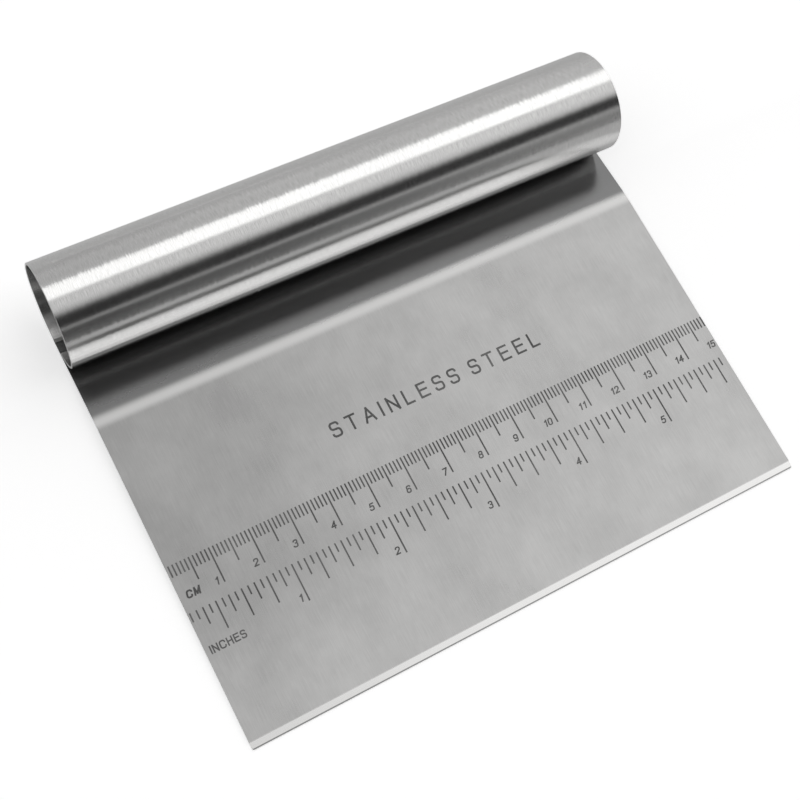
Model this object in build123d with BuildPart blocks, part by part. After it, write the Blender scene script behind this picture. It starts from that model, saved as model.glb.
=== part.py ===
from build123d import *
import os
from math import acos, asin, atan2, cos, degrees, hypot, radians, sin, tan

# Bench scraper: a thin satin steel blade with a printed ruler and a rolled tube handle.
# It lies on its back. X runs along the scraping edge, +Y points from that edge to the handle and
# +Z points out of the printed face. The origin is the middle of the bounding box's bottom face.
# All lengths are in millimetres and all angles in degrees.

# Overall size
WIDTH = 150.0                # blade and tube, end to end
HEIGHT = 120.0               # scraping edge to the far side of the tube
SHEET = 0.6                  # thickness of the steel sheet

# Handle tube
TUBE_RADIUS = 13.0           # outside
TUBE_OFFSET = 10.0           # tube axis in front of the printed face
LIP_GAP = 0.05               # the tube's free lip stops just short of the neck
RIM_CHAMFER = 0.12           # deburred rims at both ends

# Blade
BEND_HEIGHT = 82.5           # scraping edge to the bend line
BEND_RADIUS = 30.0           # at the back face
EDGE_BEVEL = 1.8             # width of the ground scraping edge
EDGE_LAND = 0.25             # thickness left at the scraping edge
CORNER_RADIUS = 0.5          # at both ends of the scraping edge

# Butt weld between the neck and the tube
WELD_WIDTH = 1.0
WELD_CROWN = 0.05            # how far the bead stands proud of the back

# Ruler marks. Heights are measured from the scraping edge, and lefts from the zero mark.
# Kinds of mark are given as (every how many marks it comes, its length), the shortest first.
INK = 0.04                   # thickness of the printed layer
SIDE_MARGIN = 0.7            # left side of the blade to the zero mark
TICK_WIDTH = 0.36
MM = 1.0                     # spacing of the centimetre scale's marks
LAST_MM = 149
CM = 10.0                    # spacing of its numerals
LAST_CM = 15
CM_LINE = 44.7               # top ends of its marks
CM_TICK_KINDS = ((1, 2.8), (5, 5.6), (10, 8.7))
INCH = 25.4                  # spacing of the inch scale's numerals
LAST_INCH = 5
SIXTEENTH = INCH / 16        # spacing of its marks
LAST_SIXTEENTH = 93
INCH_LINE = 33.0             # top ends of its marks
INCH_SHIFT = -0.17           # it starts a little further left
INCH_TICK_KINDS = ((1, 2.2), (2, 4.1), (4, 6.7), (16, 9.3))

# Ruler lettering
ITALIC = 12.0
UPRIGHT = 0.0
NUMERAL_HEIGHT = 1.85
NUMERAL_WEIGHT = 0.32        # width of the strokes
NUMERAL_GAP = 1.3            # from a numeral to the mark on its right
LETTER_GAP = 0.3
CM_NUMERAL_HEIGHT = 36.0
INCH_NUMERAL_HEIGHT = 24.1
UNIT_SIZE = 1.95
UNIT_WEIGHT = 0.42
CM_LABEL_LEFT = 0.8
INCH_LABEL_LEFT = 0.4
INCH_LABEL_HEIGHT = 22.6

# Words above the ruler
WORDS = "STAINLESS STEEL"
WORDS_LEFT = 48.0
WORDS_HEIGHT = 55.5
WORDS_SIZE = 3.95
WORDS_WEIGHT = 0.52
WORDS_GAP = 1.62
SPACE_WIDTH = 0.45           # as a share of the letter height

# Derived places in the side view, where a point is (Y, Z)
EDGE_Y = -HEIGHT / 2
FRONT_Z = TUBE_RADIUS - TUBE_OFFSET
BACK_Z = FRONT_Z - SHEET
BEND_Y = EDGE_Y + BEND_HEIGHT
TUBE_Y = HEIGHT / 2 - TUBE_RADIUS
TUBE_Z = TUBE_RADIUS
TUBE_BORE = TUBE_RADIUS - SHEET
CM_ZERO = SIDE_MARGIN - WIDTH / 2
INCH_ZERO = CM_ZERO + INCH_SHIFT
PRINTED_FACE = Plane.XY.offset(FRONT_Z)

# The neck leans back until its back face is tangent to the outside of the tube.
BEND_TO_AXIS = hypot(TUBE_Y - BEND_Y, TUBE_Z - BACK_Z)
NECK_ANGLE = degrees(atan2(TUBE_Z - BACK_Z, TUBE_Y - BEND_Y) - asin(TUBE_RADIUS / BEND_TO_AXIS))
NECK_LENGTH = (BEND_TO_AXIS**2 - TUBE_RADIUS**2) ** 0.5
TANGENT_ANGLE = NECK_ANGLE - 90
NECK_END = NECK_LENGTH - WELD_WIDTH / 2
HALF_WELD_ANGLE = degrees(WELD_WIDTH / 2 / TUBE_RADIUS)
TUBE_START = TANGENT_ANGLE + HALF_WELD_ANGLE
TUBE_SWEEP = 360 - degrees(acos((TUBE_BORE - LIP_GAP) / TUBE_RADIUS)) - HALF_WELD_ANGLE


def on_neck(distance, depth=0.0):
    """Point this far along the neck from the bend line, at this depth under its back face."""
    along = radians(NECK_ANGLE)
    return (
        BEND_Y + distance * cos(along) - depth * sin(along),
        BACK_Z + distance * sin(along) + depth * cos(along),
    )


def on_tube(radius, angle):
    """Point at this radius and angle around the tube's axis."""
    return (TUBE_Y + radius * cos(radians(angle)), TUBE_Z + radius * sin(radians(angle)))


# Strokes of each character, in a box one unit high: (corner radius, points along the stroke).
STROKES = {
    "0": [(0.23, [(0, 0), (0.6, 0), (0.6, 1), (0, 1), (0, 0)])],
    "1": [
        (0, [(0.38, 0), (0.38, 1)]),
        (0, [(0.14, 0.8), (0.34, 0.94)]),
    ],
    "2": [
        (0.19, [(0, 0.72), (0, 1), (0.6, 1), (0.6, 0.6), (0, 0)]),
        (0, [(0, 0), (0.62, 0)]),
    ],
    "3": [
        (0.17, [(0.02, 0.76), (0.02, 1), (0.56, 1), (0.56, 0.54), (0.22, 0.54)]),
        (0.18, [(0.22, 0.54), (0.6, 0.54), (0.6, 0), (0, 0), (0, 0.24)]),
    ],
    "4": [
        (0, [(0.48, 0), (0.48, 1)]),
        (0, [(0.48, 1), (0, 0.3)]),
        (0, [(0, 0.3), (0.66, 0.3)]),
    ],
    "5": [
        (0, [(0.56, 1), (0.08, 1), (0.02, 0.56)]),
        (0.18, [(0.02, 0.58), (0.6, 0.62), (0.6, 0), (0, 0), (0, 0.24)]),
    ],
    "6": [
        (0.21, [(0, 0), (0.6, 0), (0.6, 0.58), (0, 0.58), (0, 0)]),
        (0.17, [(0, 0.3), (0, 1), (0.56, 1), (0.56, 0.78)]),
    ],
    "7": [
        (0, [(0, 1), (0.6, 1)]),
        (0, [(0.6, 1), (0.2, 0)]),
    ],
    "8": [
        (0.2, [(0, 0), (0.6, 0), (0.6, 0.54), (0, 0.54), (0, 0)]),
        (0.17, [(0.04, 0.54), (0.56, 0.54), (0.56, 1), (0.04, 1), (0.04, 0.54)]),
    ],
    "9": [
        (0.21, [(0, 0.42), (0.6, 0.42), (0.6, 1), (0, 1), (0, 0.42)]),
        (0.17, [(0.6, 0.7), (0.6, 0), (0.04, 0), (0.04, 0.22)]),
    ],
    "A": [
        (0, [(0, 0), (0.36, 1)]),
        (0, [(0.36, 1), (0.72, 0)]),
        (0, [(0.12, 0.32), (0.6, 0.32)]),
    ],
    "C": [(0.26, [(0.72, 0.66), (0.72, 1), (0, 1), (0, 0), (0.72, 0), (0.72, 0.34)])],
    "E": [
        (0, [(0.62, 1), (0, 1), (0, 0), (0.64, 0)]),
        (0, [(0, 0.53), (0.58, 0.53)]),
    ],
    "H": [
        (0, [(0, 0), (0, 1)]),
        (0, [(0.66, 0), (0.66, 1)]),
        (0, [(0, 0.53), (0.66, 0.53)]),
    ],
    "I": [(0, [(0, 0), (0, 1)])],
    "L": [(0, [(0, 1), (0, 0), (0.56, 0)])],
    "M": [
        (0, [(0, 0), (0, 1)]),
        (0, [(0, 1), (0.38, 0.1)]),
        (0, [(0.38, 0.1), (0.76, 1)]),
        (0, [(0.76, 1), (0.76, 0)]),
    ],
    "N": [
        (0, [(0, 0), (0, 1)]),
        (0, [(0, 1), (0.66, 0)]),
        (0, [(0.66, 0), (0.66, 1)]),
    ],
    "S": [
        (0.18, [(0.6, 0.75), (0.6, 1), (0, 1), (0, 0.54), (0.62, 0.5), (0.62, 0), (0, 0), (0, 0.25)]),
    ],
    "T": [
        (0, [(0, 1), (0.68, 1)]),
        (0, [(0.34, 1), (0.34, 0)]),
    ],
}


def character_shape(character, size, weight, slant):
    """One flat character, its lower left corner at the origin."""
    scale = size - weight
    lean = tan(radians(slant))
    with BuildSketch() as shape:
        for corner_radius, points in STROKES[character]:
            stroke = [Vector(x + lean * y, y) * scale + Vector(weight, weight) / 2 for x, y in points]
            with BuildLine():
                if corner_radius:
                    FilletPolyline(*stroke, radius=corner_radius * scale)
                else:
                    stroke[0] += (stroke[0] - stroke[1]).normalized() * weight / 2
                    stroke[-1] += (stroke[-1] - stroke[-2]).normalized() * weight / 2
                    Polyline(*stroke)
            trace(line_width=weight)
    return shape.sketch


def word_shape(word, size, weight, slant, gap):
    """The characters of one word in a row, and the row's length."""
    shape = Sketch()
    length = 0.0
    for character in word:
        if character == " ":
            length += SPACE_WIDTH * size
            continue
        shape += Pos(length, 0) * character_shape(character, size, weight, slant)
        width = max(x for _, points in STROKES[character] for x, _ in points)
        length += width * (size - weight) + weight + gap
    return shape, length - gap


def numeral_shapes(last):
    """The numerals from 1 to this one, each with its length."""
    return [
        word_shape(str(number), NUMERAL_HEIGHT, NUMERAL_WEIGHT, ITALIC, LETTER_GAP)
        for number in range(1, last + 1)
    ]


def tick_length(index, kinds):
    """Length of one mark of a scale. The zero mark is one of the shortest."""
    length = kinds[0][1]
    for spacing, longer in kinds:
        if index and index % spacing == 0:
            length = longer
    return length


def draw_ticks(zero, spacing, last, line, kinds):
    """Adds the marks from zero to this last one to the open sketch, hung from a line at this height."""
    for index in range(last + 1):
        with Locations((zero + index * spacing, EDGE_Y + line)):
            Rectangle(TICK_WIDTH, tick_length(index, kinds), align=(Align.CENTER, Align.MAX))


def draw_numerals(shapes, zero, spacing, height):
    """Adds numerals to the open sketch, each to the left of its mark."""
    for number, (shape, length) in enumerate(shapes, start=1):
        with Locations((zero + number * spacing - NUMERAL_GAP - length, EDGE_Y + height)):
            add(shape)


def draw_word(shape, left, height):
    """Adds a word to the open sketch, its lower left corner at this place."""
    with Locations((CM_ZERO + left, EDGE_Y + height)):
        add(shape)


# Blade: flat sheet with a ground edge, bent slightly back into the neck that carries the tube
with BuildPart() as blade:
    with BuildSketch(Plane.YZ):
        with BuildLine():
            FilletPolyline(
                (EDGE_Y, BACK_Z),
                (BEND_Y, BACK_Z),
                on_neck(NECK_END),
                radius=BEND_RADIUS,
            )
            offset(amount=SHEET, side=Side.LEFT)
        make_face()
        with BuildLine():
            Polyline(
                (EDGE_Y, BACK_Z + EDGE_LAND),
                (EDGE_Y + EDGE_BEVEL, FRONT_Z),
                (EDGE_Y, FRONT_Z),
                close=True,
            )
        make_face(mode=Mode.SUBTRACT)
    extrude(amount=WIDTH / 2, both=True)
    with BuildSketch() as outline:
        Rectangle(WIDTH, HEIGHT)
        fillet(outline.vertices().group_by(Axis.Y)[0], CORNER_RADIUS)
    extrude(amount=FRONT_Z, mode=Mode.INTERSECT)

# Handle: sheet rolled into a tube, open at both ends, its free lip turned in against the neck
with BuildPart() as handle_tube:
    with BuildSketch(Plane.YZ):
        with BuildLine():
            CenterArc((TUBE_Y, TUBE_Z), TUBE_RADIUS, TUBE_START, TUBE_SWEEP)
            offset(amount=SHEET, side=Side.LEFT)
        make_face()
    extrude(amount=WIDTH / 2, both=True)
    rims = handle_tube.edges().filter_by(GeomType.CIRCLE)
    chamfer(rims, RIM_CHAMFER)

# Weld: one bead along the line where the neck runs into the tube
with BuildPart() as seam_weld:
    neck_back = on_neck(NECK_END)
    neck_front = on_neck(NECK_END, SHEET)
    tube_front = on_tube(TUBE_BORE, TUBE_START)
    tube_back = on_tube(TUBE_RADIUS, TUBE_START)
    with BuildSketch(Plane.YZ):
        with BuildLine():
            Polyline(neck_back, neck_front, tube_front, tube_back)
            ThreePointArc(tube_back, on_neck(NECK_LENGTH, -WELD_CROWN), neck_back)
        make_face()
    extrude(amount=WIDTH / 2, both=True)

# Centimetre scale
with BuildPart() as cm_ticks:
    with BuildSketch(PRINTED_FACE):
        draw_ticks(CM_ZERO, MM, LAST_MM, CM_LINE, CM_TICK_KINDS)
    extrude(amount=INK)

cm_numeral_shapes = numeral_shapes(LAST_CM)
with BuildPart() as cm_numerals:
    with BuildSketch(PRINTED_FACE):
        draw_numerals(cm_numeral_shapes, CM_ZERO, CM, CM_NUMERAL_HEIGHT)
    extrude(amount=INK)

cm_word, _ = word_shape("CM", UNIT_SIZE, UNIT_WEIGHT, ITALIC, LETTER_GAP)
with BuildPart() as cm_label:
    with BuildSketch(PRINTED_FACE):
        draw_word(cm_word, CM_LABEL_LEFT, CM_NUMERAL_HEIGHT)
    extrude(amount=INK)

# Inch scale
with BuildPart() as inch_ticks:
    with BuildSketch(PRINTED_FACE):
        draw_ticks(INCH_ZERO, SIXTEENTH, LAST_SIXTEENTH, INCH_LINE, INCH_TICK_KINDS)
    extrude(amount=INK)

inch_numeral_shapes = numeral_shapes(LAST_INCH)
with BuildPart() as inch_numerals:
    with BuildSketch(PRINTED_FACE):
        draw_numerals(inch_numeral_shapes, INCH_ZERO, INCH, INCH_NUMERAL_HEIGHT)
    extrude(amount=INK)

inch_word, _ = word_shape("INCHES", UNIT_SIZE, NUMERAL_WEIGHT, UPRIGHT, LETTER_GAP)
with BuildPart() as inch_label:
    with BuildSketch(PRINTED_FACE):
        draw_word(inch_word, INCH_LABEL_LEFT, INCH_LABEL_HEIGHT)
    extrude(amount=INK)

# Generic words above the ruler
words_row, _ = word_shape(WORDS, WORDS_SIZE, WORDS_WEIGHT, UPRIGHT, WORDS_GAP)
with BuildPart() as steel_words:
    with BuildSketch(PRINTED_FACE):
        draw_word(words_row, WORDS_LEFT, WORDS_HEIGHT)
    extrude(amount=INK)

pieces = {
    "blade": blade,
    "handle_tube": handle_tube,
    "seam_weld": seam_weld,
    "cm_ticks": cm_ticks,
    "cm_numerals": cm_numerals,
    "cm_label": cm_label,
    "inch_ticks": inch_ticks,
    "inch_numerals": inch_numerals,
    "inch_label": inch_label,
    "steel_words": steel_words,
}
os.makedirs("parts", exist_ok=True)
for name, piece in pieces.items():
    piece.part.label = name
    export_step(piece.part, f"parts/{name}.step")
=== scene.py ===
"""Bench scraper: brushed steel finishes, floor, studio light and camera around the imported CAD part.

Everything is in metres, in the part's own frame: X runs along the scraping edge, +Y points towards
the handle and +Z out of the printed face.
"""

import math

import bpy
from mathutils import Matrix, Vector


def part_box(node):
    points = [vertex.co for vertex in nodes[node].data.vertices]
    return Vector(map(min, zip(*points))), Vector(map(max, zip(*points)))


MM = 0.001

# Camera
CAMERA_PLACE = Vector((-0.1043, -0.0741, 0.3010))
CAMERA_TARGET = Vector((-0.0074, -0.0025, 0.0030))
CAMERA_ROLL = 27.0
CAMERA_LENS = 59.9           # mm, on this sensor
SENSOR = 36.0

# Brightness of the room that the steel mirrors, as (angle, level). The angle is seen along the scraping
# edge: 0 is straight behind the handle, 90 straight up and 180 straight in front of the scraping edge.
ROOM_LEFT = (
    (0, 0.60), (10, 0.63), (24, 0.75), (40, 0.69), (52, 0.72), (84, 0.76), (94, 0.98), (104, 0.99),
    (110, 0.84), (116, 0.52), (121, 0.14), (125, 0.04), (143, 0.04), (147, 0.42), (150, 0.42),
    (153, 0.06), (170, 0.14), (180, 0.20),
)
ROOM_RIGHT = (
    (0, 0.64), (10, 0.68), (24, 0.78), (40, 0.76), (52, 0.78), (84, 0.80), (94, 0.98), (104, 0.98),
    (113, 0.88), (119, 0.60), (124, 0.16), (128, 0.05), (142, 0.05), (147, 0.36), (154, 0.50),
    (164, 0.36), (180, 0.38),
)
BELOW_HORIZON = 0.90
BRIGHTEST = 2.0              # the level that stands for full white in the room's colours

# Soft panels that light the tube alone, over it and low in front of it
KEY_ANGLE = 71.0             # as in the room
KEY_DISTANCE = 0.40
KEY_SHIFT = 0.10             # towards the tube's right-hand end
STRIP_ANGLE = 270.0          # the strip faces straight up
STRIP_LIFT = 1.5 * MM        # over the printed face
STRIP_SHIFT = 1.5 * MM       # towards the tube's right-hand end
STRIP_BEFORE_AXIS = 33.0 * MM
FLAG_BEFORE_AXIS = 15.5 * MM
FLAG_TOP = 7.5 * MM
LIGHT_POWER = 4.0            # power of a panel per area and brightness

FLOOR_SIZE = 6.0
FLAG_LENGTH = 0.4
PAPER_TOOTH = 900.0          # grains of the floor's paper per metre

# The blade, as in the CAD
SHEET = 0.6 * MM
BEND_HEIGHT = 82.5           # mm, scraping edge to the bend line
BEVEL = 1.8                  # mm, width of the ground scraping edge

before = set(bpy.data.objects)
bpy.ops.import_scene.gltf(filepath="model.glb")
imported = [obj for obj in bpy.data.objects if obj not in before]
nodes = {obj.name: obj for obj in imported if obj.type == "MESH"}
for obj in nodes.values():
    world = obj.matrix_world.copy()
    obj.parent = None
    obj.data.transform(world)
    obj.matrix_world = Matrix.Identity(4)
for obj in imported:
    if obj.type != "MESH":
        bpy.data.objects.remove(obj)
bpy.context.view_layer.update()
blade_low, blade_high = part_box("blade")
tube_low, tube_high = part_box("handle_tube")
tube_axis = (tube_low + tube_high) / 2
tube_radius = (tube_high.z - tube_low.z) / 2


class Shader:
    """Adds and wires the nodes of one shader tree."""

    def __init__(self, tree):
        self.tree = tree
        tree.nodes.clear()

    def add(self, kind, **settings):
        node = self.tree.nodes.new(kind)
        for name, value in settings.items():
            setattr(node, name, value)
        return node

    def feed(self, socket, value):
        if isinstance(value, bpy.types.NodeSocket):
            self.tree.links.new(value, socket)
        else:
            socket.default_value = value

    def math(self, operation, *values, clamp=False):
        node = self.add("ShaderNodeMath", operation=operation, use_clamp=clamp)
        for socket, value in zip(node.inputs, values):
            self.feed(socket, value)
        return node.outputs[0]

    def vector_math(self, operation, *values):
        node = self.add("ShaderNodeVectorMath", operation=operation)
        for socket, value in zip(node.inputs, values):
            self.feed(socket, value)
        return node.outputs[0]

    def scale(self, vector, factor):
        node = self.add("ShaderNodeVectorMath", operation="SCALE")
        self.feed(node.inputs["Vector"], vector)
        self.feed(node.inputs["Scale"], factor)
        return node.outputs[0]

    def split(self, vector):
        node = self.add("ShaderNodeSeparateXYZ")
        self.feed(node.inputs[0], vector)
        return node.outputs[0], node.outputs[1], node.outputs[2]

    def join(self, x, y, z):
        node = self.add("ShaderNodeCombineXYZ")
        for socket, value in zip(node.inputs, (x, y, z)):
            self.feed(socket, value)
        return node.outputs[0]

    def place(self):
        """The point being shaded, as a vector in metres."""
        return self.add("ShaderNodeTexCoord").outputs["Object"]

    def place_mm(self):
        """The point being shaded, as X, Y and Z in millimetres."""
        return self.split(self.scale(self.place(), 1 / MM))

    def normal(self):
        return self.add("ShaderNodeNewGeometry").outputs["Normal"]

    def camera_sees(self):
        """1 for what the camera sees directly, 0 for what light and reflections meet."""
        return self.add("ShaderNodeLightPath").outputs["Is Camera Ray"]

    def noise(self, vector, detail=4.0, rough=0.55):
        node = self.add("ShaderNodeTexNoise", noise_dimensions="3D")
        self.feed(node.inputs["Vector"], vector)
        self.feed(node.inputs["Scale"], 1.0)
        self.feed(node.inputs["Detail"], detail)
        self.feed(node.inputs["Roughness"], rough)
        return node.outputs["Fac"]

    def grain(self, u, v, scale, layer=0.0, detail=4.0, rough=0.55):
        """Noise over a surface, scaled by its own factor each way. Each layer gives another pattern."""
        u = self.math("MULTIPLY", u, scale[0])
        v = self.math("MULTIPLY", v, scale[1])
        return self.noise(self.join(u, v, layer), detail, rough)

    def remap(self, value, low, high, to_low=0.0, to_high=1.0, smooth=False):
        node = self.add("ShaderNodeMapRange", clamp=True)
        if smooth:
            node.interpolation_type = "SMOOTHSTEP"
        for socket, item in zip(node.inputs, (value, low, high, to_low, to_high)):
            self.feed(socket, item)
        return node.outputs[0]

    def centred(self, value, size):
        """Noise moved to swing around zero and scaled to this size."""
        return self.math("MULTIPLY", self.math("SUBTRACT", value, 0.5), size)

    def blend(self, a, share, b):
        """This share of one value with the rest from another."""
        return self.math("ADD", self.math("MULTIPLY", a, share), self.math("MULTIPLY", b, 1.0 - share))

    def mix_colour(self, factor, a, b):
        node = self.add("ShaderNodeMix", data_type="RGBA")
        self.feed(node.inputs["Factor"], factor)
        self.feed(node.inputs["A"], a)
        self.feed(node.inputs["B"], b)
        return node.outputs["Result"]

    def ramp(self, value, stops):
        node = self.add("ShaderNodeValToRGB")
        elements = node.color_ramp.elements
        while len(elements) < len(stops):
            elements.new(0.5)
        for element, (place, level) in zip(elements, stops):
            element.position = place
            element.color = (level, level, level, 1.0)
        self.feed(node.inputs["Fac"], value)
        return node.outputs["Color"]

    def bump(self, height, depth, normal):
        node = self.add("ShaderNodeBump")
        self.feed(node.inputs["Strength"], 1.0)
        self.feed(node.inputs["Distance"], depth)
        self.feed(node.inputs["Height"], height)
        self.feed(node.inputs["Normal"], normal)
        return node.outputs[0]

    def surface(self, **inputs):
        """Ends the tree with one Principled surface. Names are the sockets' own, in lower case."""
        node = self.add("ShaderNodeBsdfPrincipled")
        for name, value in inputs.items():
            socket = next(s for s in node.inputs if s.name.lower().replace(" ", "_") == name)
            self.feed(socket, value)
        output = self.add("ShaderNodeOutputMaterial")
        self.feed(output.inputs["Surface"], node.outputs[0])

    def emission(self, kind, colour, strength):
        node = self.add(kind)
        self.feed(node.inputs["Color"], colour)
        self.feed(node.inputs["Strength"], strength)
        return node.outputs[0]


def new_material(name):
    material = bpy.data.materials.new(name)
    material.use_nodes = True
    return material, Shader(material.node_tree)


def grey(level):
    """A steel grey of this level, very slightly warm."""
    return (level, level * 0.995, level * 0.985, 1.0)


def plain(level):
    return (level, level, level, 1.0)


def tube_material():
    """Rolled tube, brushed around its axis: highlights run along it, with ragged edges."""
    material, shader = new_material("tube_brushed_steel")
    x, y, z = shader.split(shader.place())
    up = shader.math("SUBTRACT", z, tube_axis.z)
    back = shader.math("SUBTRACT", y, tube_axis.y)
    turn = shader.math("ARCTAN2", back, up)
    along = shader.math("DIVIDE", x, MM)
    fine = shader.grain(along, turn, scale=(6.0, 6.0))
    coarse = shader.grain(along, turn, scale=(1.1, 1.3), layer=4.0, detail=5.0, rough=0.7)
    cloud = shader.grain(along, turn, scale=(0.035, 0.9), layer=9.0, detail=3.0)

    # Brush marks lean the surface a little this way and that around the tube.
    normal = shader.normal()
    around = shader.vector_math("CROSS_PRODUCT", (1.0, 0.0, 0.0), normal)
    sway = shader.math("ADD", shader.centred(coarse, 0.030), shader.centred(fine, 0.095))
    swayed = shader.vector_math("ADD", normal, shader.scale(around, sway))
    brushed = shader.vector_math("NORMALIZE", swayed)

    shader.surface(
        base_color=shader.mix_colour(shader.remap(fine, 0.3, 0.7), grey(0.54), grey(0.68)),
        metallic=1.0,
        roughness=shader.remap(cloud, 0.3, 0.7, 0.20, 0.28),
        anisotropic=0.85,
        tangent=shader.join(1.0, 0.0, 0.0),
        normal=shader.bump(fine, 0.004 * MM, brushed),
    )
    return material


def blade_material():
    """Satin sheet with faint streaks from edge to handle, smudges, a smoother neck and a polished bevel
    along the scraping edge; painted shade darkens the upper left, the neck and the very edge, and painted
    highlights brighten the bend line and the bevel.
    """
    material, shader = new_material("blade_satin_steel")
    x, y, z = shader.place_mm()
    streak = shader.grain(x, y, scale=(4.0, 0.16), layer=z, rough=0.6)
    smudge = shader.grain(x, y, scale=(0.055, 0.05), layer=z, detail=5.0, rough=0.62)
    patch = shader.grain(x, y, scale=(0.016, 0.02), layer=7.0, detail=2.0)

    # Satin flat, painted darker towards the upper left as painted shade
    tone = shader.blend(streak, 0.35, smudge)
    colour = shader.mix_colour(shader.remap(tone, 0.36, 0.64), grey(0.54), grey(0.68))
    edge = blade_low.y / MM
    painted_shade_left = shader.remap(x, blade_low.x / MM, 20.0, 0.84, 1.01, smooth=True)
    painted_shade_up = shader.remap(y, edge + 5.0, edge + 40.0, smooth=True)
    colour = shader.scale(colour, shader.remap(painted_shade_up, 0.0, 1.0, 1.0, painted_shade_left))
    rough = shader.remap(smudge, 0.3, 0.7, 0.36, 0.46)
    rough = shader.math("ADD", rough, shader.remap(patch, 0.3, 0.7, -0.03, 0.03))

    # Neck painted darker as painted shade and made smoother, and a painted highlight along the bend line
    bend = edge + BEND_HEIGHT
    painted_neck_shade = shader.remap(y, bend, bend + 9.0, 0.31, 0.27)
    colour = shader.mix_colour(shader.remap(y, bend, bend + 2.5, smooth=True), colour, painted_neck_shade)
    rough = shader.math("MULTIPLY", rough, shader.remap(y, bend, bend + 12.0, 0.72, 0.38))
    # Painted highlight: a bright band painted along the bend line
    from_bend = shader.math("ABSOLUTE", shader.math("SUBTRACT", y, bend - 0.2))
    painted_bend_highlight = shader.remap(from_bend, 0.2, 2.2, 1.0, 0.0, smooth=True)
    colour = shader.mix_colour(painted_bend_highlight, colour, grey(0.86))

    # Bevel smoother than the flat and painted bright as a painted highlight, ending in a line painted dark
    # as painted shade at the very edge
    bevel_polish_and_highlight = shader.remap(y, edge + BEVEL - 0.2, edge + BEVEL + 0.1, 1.0, 0.0)
    painted_edge_shade = shader.remap(y, edge + 0.26, edge + 0.34, 1.0, 0.0)
    colour = shader.mix_colour(bevel_polish_and_highlight, colour, grey(0.96))
    colour = shader.mix_colour(painted_edge_shade, colour, grey(0.34))
    rough = shader.math("MULTIPLY", rough, shader.remap(bevel_polish_and_highlight, 0.0, 1.0, 1.0, 0.6))

    shader.surface(
        base_color=colour,
        metallic=1.0,
        roughness=rough,
        anisotropic=0.5,
        tangent=shader.join(1.0, 0.0, 0.0),
        normal=shader.bump(streak, 0.003 * MM, shader.normal()),
    )
    return material


def weld_material():
    """Ground butt weld: coarser, slightly darker and crossed by file marks."""
    material, shader = new_material("weld_ground_steel")
    x, y, _ = shader.place_mm()
    ripple = shader.grain(x, y, scale=(1.6, 1.0), rough=0.7)
    shader.surface(
        base_color=shader.mix_colour(shader.remap(ripple, 0.3, 0.7), grey(0.34), grey(0.56)),
        metallic=1.0,
        roughness=shader.remap(ripple, 0.3, 0.7, 0.34, 0.52),
        anisotropic=0.3,
        tangent=shader.join(0.0, 1.0, 0.0),
        normal=shader.bump(ripple, 0.02 * MM, shader.normal()),
    )
    return material


def print_material():
    """Dark grey marking on the satin sheet, worn thin in places."""
    material, shader = new_material("print_worn_ink")
    x, y, _ = shader.place_mm()
    wear = shader.grain(x, y, scale=(0.08, 0.08), detail=3.0)
    speckle = shader.grain(x, y, scale=(3.0, 3.0), detail=3.0, rough=0.7)
    worn = shader.blend(wear, 0.7, speckle)
    shader.surface(
        base_color=shader.mix_colour(shader.remap(worn, 0.34, 0.64), grey(0.075), grey(0.23)),
        metallic=0.2,
        roughness=shader.remap(speckle, 0.3, 0.7, 0.45, 0.62),
        normal=shader.bump(speckle, 0.01 * MM, shader.normal()),
    )
    return material


def floor_material():
    """Matte white paper with the slightest tooth. It glows more to the camera, to read as white."""
    material, shader = new_material("floor_white_paper")
    tooth = shader.noise(shader.scale(shader.place(), PAPER_TOOTH), detail=3.0)
    shader.surface(
        base_color=shader.mix_colour(tooth, plain(0.90), plain(0.93)),
        roughness=0.9,
        specular_ior_level=0.1,
        emission_color=plain(1.0),
        emission_strength=shader.remap(shader.camera_sees(), 0.0, 1.0, 0.08, 0.52),
    )
    return material


def studio_room():
    """White to the camera; banded soft light to everything else."""
    world = bpy.data.worlds.new("studio_room")
    world.use_nodes = True
    bpy.context.scene.world = world
    shader = Shader(world.node_tree)
    x, y, z = shader.split(shader.add("ShaderNodeTexCoord").outputs["Generated"])
    angle = shader.math("DIVIDE", shader.math("ARCTAN2", z, y), math.pi, clamp=True)
    left, right = (
        shader.ramp(angle, [(degrees / 180, level / BRIGHTEST) for degrees, level in bands])
        for bands in (ROOM_LEFT, ROOM_RIGHT)
    )
    bands = shader.mix_colour(shader.remap(x, 0.30, 0.50, smooth=True), left, right)
    dim_left = shader.remap(x, 0.05, 0.30, 0.76, 1.0, smooth=True)
    bands = shader.mix_colour(dim_left, plain(0.0), bands)
    below = shader.math("LESS_THAN", z, 0.0)
    room = shader.mix_colour(below, bands, plain(BELOW_HORIZON / BRIGHTEST))

    choose = shader.add("ShaderNodeMixShader")
    shader.feed(choose.inputs[0], shader.camera_sees())
    shader.feed(choose.inputs[1], shader.emission("ShaderNodeBackground", room, BRIGHTEST))
    shader.feed(choose.inputs[2], shader.emission("ShaderNodeBackground", plain(1.0), 1.0))
    output = shader.add("ShaderNodeOutputWorld")
    shader.feed(output.inputs["Surface"], choose.outputs[0])


def tube_light(name, place, angle, width, length, brightness):
    """A soft panel along the tube that faces away from this angle of the room. It lights the tube alone."""
    data = bpy.data.lights.new(name, "AREA")
    data.shape = "RECTANGLE"
    data.size = length
    data.size_y = width
    data.energy = LIGHT_POWER * width * length * brightness
    light = bpy.data.objects.new(name, data)
    light.matrix_world = Matrix.Translation(place) @ Matrix.Rotation(math.radians(angle - 90.0), 4, "X")
    light.visible_camera = False
    bpy.context.scene.collection.objects.link(light)
    lit = bpy.data.collections.new(name + "_lights")
    lit.objects.link(nodes["handle_tube"])
    light.light_linking.receiver_collection = lit
    return light


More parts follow.
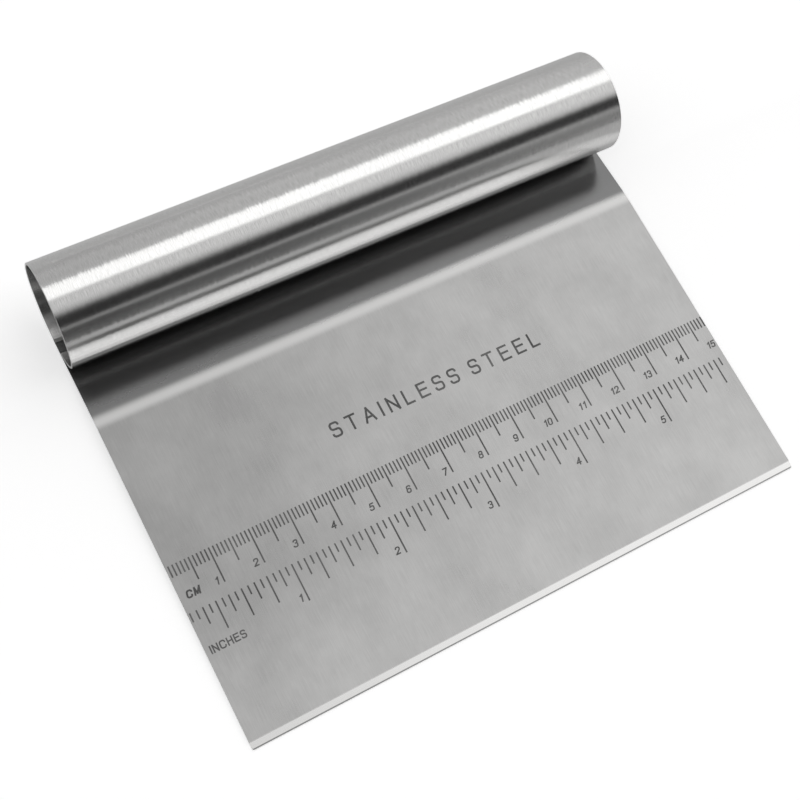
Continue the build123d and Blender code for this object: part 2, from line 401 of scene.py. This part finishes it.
def fade_strip(light):
    """Softens the strip's rear side and dims it towards its front side and its right-hand end."""
    light.data.use_nodes = True
    shader = Shader(light.data.node_tree)
    along, across, _ = shader.split(shader.add("ShaderNodeNewGeometry").outputs["Parametric"])
    rear = shader.remap(across, 0.0, 0.25, 0.6, 1.0, smooth=True)
    front = shader.remap(across, 0.35, 1.0, 1.0, 0.6)
    right = shader.remap(along, 0.75, 1.0, 1.0, 0.3, smooth=True)
    strength = shader.math("MULTIPLY", shader.math("MULTIPLY", rear, front), right)
    output = shader.add("ShaderNodeOutputLight")
    shader.feed(output.inputs["Surface"], shader.emission("ShaderNodeEmission", plain(1.0), strength))


def flat_object(name, corners):
    """A single four-cornered face that belongs to the stage, not to the scraper."""
    mesh = bpy.data.meshes.new(name)
    mesh.from_pydata(corners, [], [(0, 1, 2, 3)])
    sheet = bpy.data.objects.new(name, mesh)
    bpy.context.scene.collection.objects.link(sheet)
    return sheet


def flag(light, place_y, top):
    """An unseen upright card across the blade that keeps one light off what is low behind it."""
    half = FLAG_LENGTH / 2
    outline = ((-half, 0), (half, 0), (half, top), (-half, top))
    card = flat_object("flag", [(x, place_y, z) for x, z in outline])
    for kind in ("camera", "diffuse", "glossy", "transmission"):
        setattr(card, "visible_" + kind, False)
    blockers = bpy.data.collections.new("flag_blocks")
    blockers.objects.link(card)
    light.light_linking.blocker_collection = blockers


def resting_floor():
    """The plane under the two things the scraper lies on: its scraping edge and the tube."""
    edge = Vector((0.0, blade_low.y, blade_high.z - SHEET))
    run = tube_axis.y - edge.y
    rise = tube_axis.z - edge.z
    tilt = math.atan2(rise, run) - math.asin(tube_radius / math.hypot(run, rise))
    half = FLOOR_SIZE / 2
    floor = flat_object("floor", [(-half, -half, 0), (half, -half, 0), (half, half, 0), (-half, half, 0)])
    floor.matrix_world = Matrix.Translation(edge) @ Matrix.Rotation(tilt, 4, "X")
    floor.data.materials.append(floor_material())


def light_tube():
    """The bright line along the top of the tube, and the softer one low on its front."""
    angle = math.radians(KEY_ANGLE)
    over_tube = tube_axis + KEY_DISTANCE * Vector((0.0, math.cos(angle), math.sin(angle)))
    over_tube.x += KEY_SHIFT
    tube_light("key_softbox", over_tube, KEY_ANGLE, width=0.20, length=1.40, brightness=0.80)

    before_tube = Vector((STRIP_SHIFT, tube_axis.y - STRIP_BEFORE_AXIS, blade_high.z + STRIP_LIFT))
    strip = tube_light("front_strip", before_tube, STRIP_ANGLE, width=0.031, length=0.173, brightness=0.80)
    fade_strip(strip)
    flag(strip, tube_axis.y - FLAG_BEFORE_AXIS, FLAG_TOP)


def aim_camera():
    data = bpy.data.cameras.new("camera")
    data.lens = CAMERA_LENS
    data.sensor_width = SENSOR
    data.clip_start = 0.01
    camera = bpy.data.objects.new("camera", data)
    bpy.context.scene.collection.objects.link(camera)
    turn = (CAMERA_TARGET - CAMERA_PLACE).to_track_quat("-Z", "Y").to_matrix().to_4x4()
    roll = Matrix.Rotation(math.radians(CAMERA_ROLL), 4, "Z")
    camera.matrix_world = Matrix.Translation(CAMERA_PLACE) @ turn @ roll
    bpy.context.scene.camera = camera


finishes = {
    "blade": blade_material(),
    "handle_tube": tube_material(),
    "seam_weld": weld_material(),
}
ink = print_material()
for name, node in nodes.items():
    for slot in node.material_slots:
        slot.material = finishes.get(name, ink)

resting_floor()
studio_room()
light_tube()
aim_camera()
bpy.context.scene.view_settings.view_transform = "Standard"
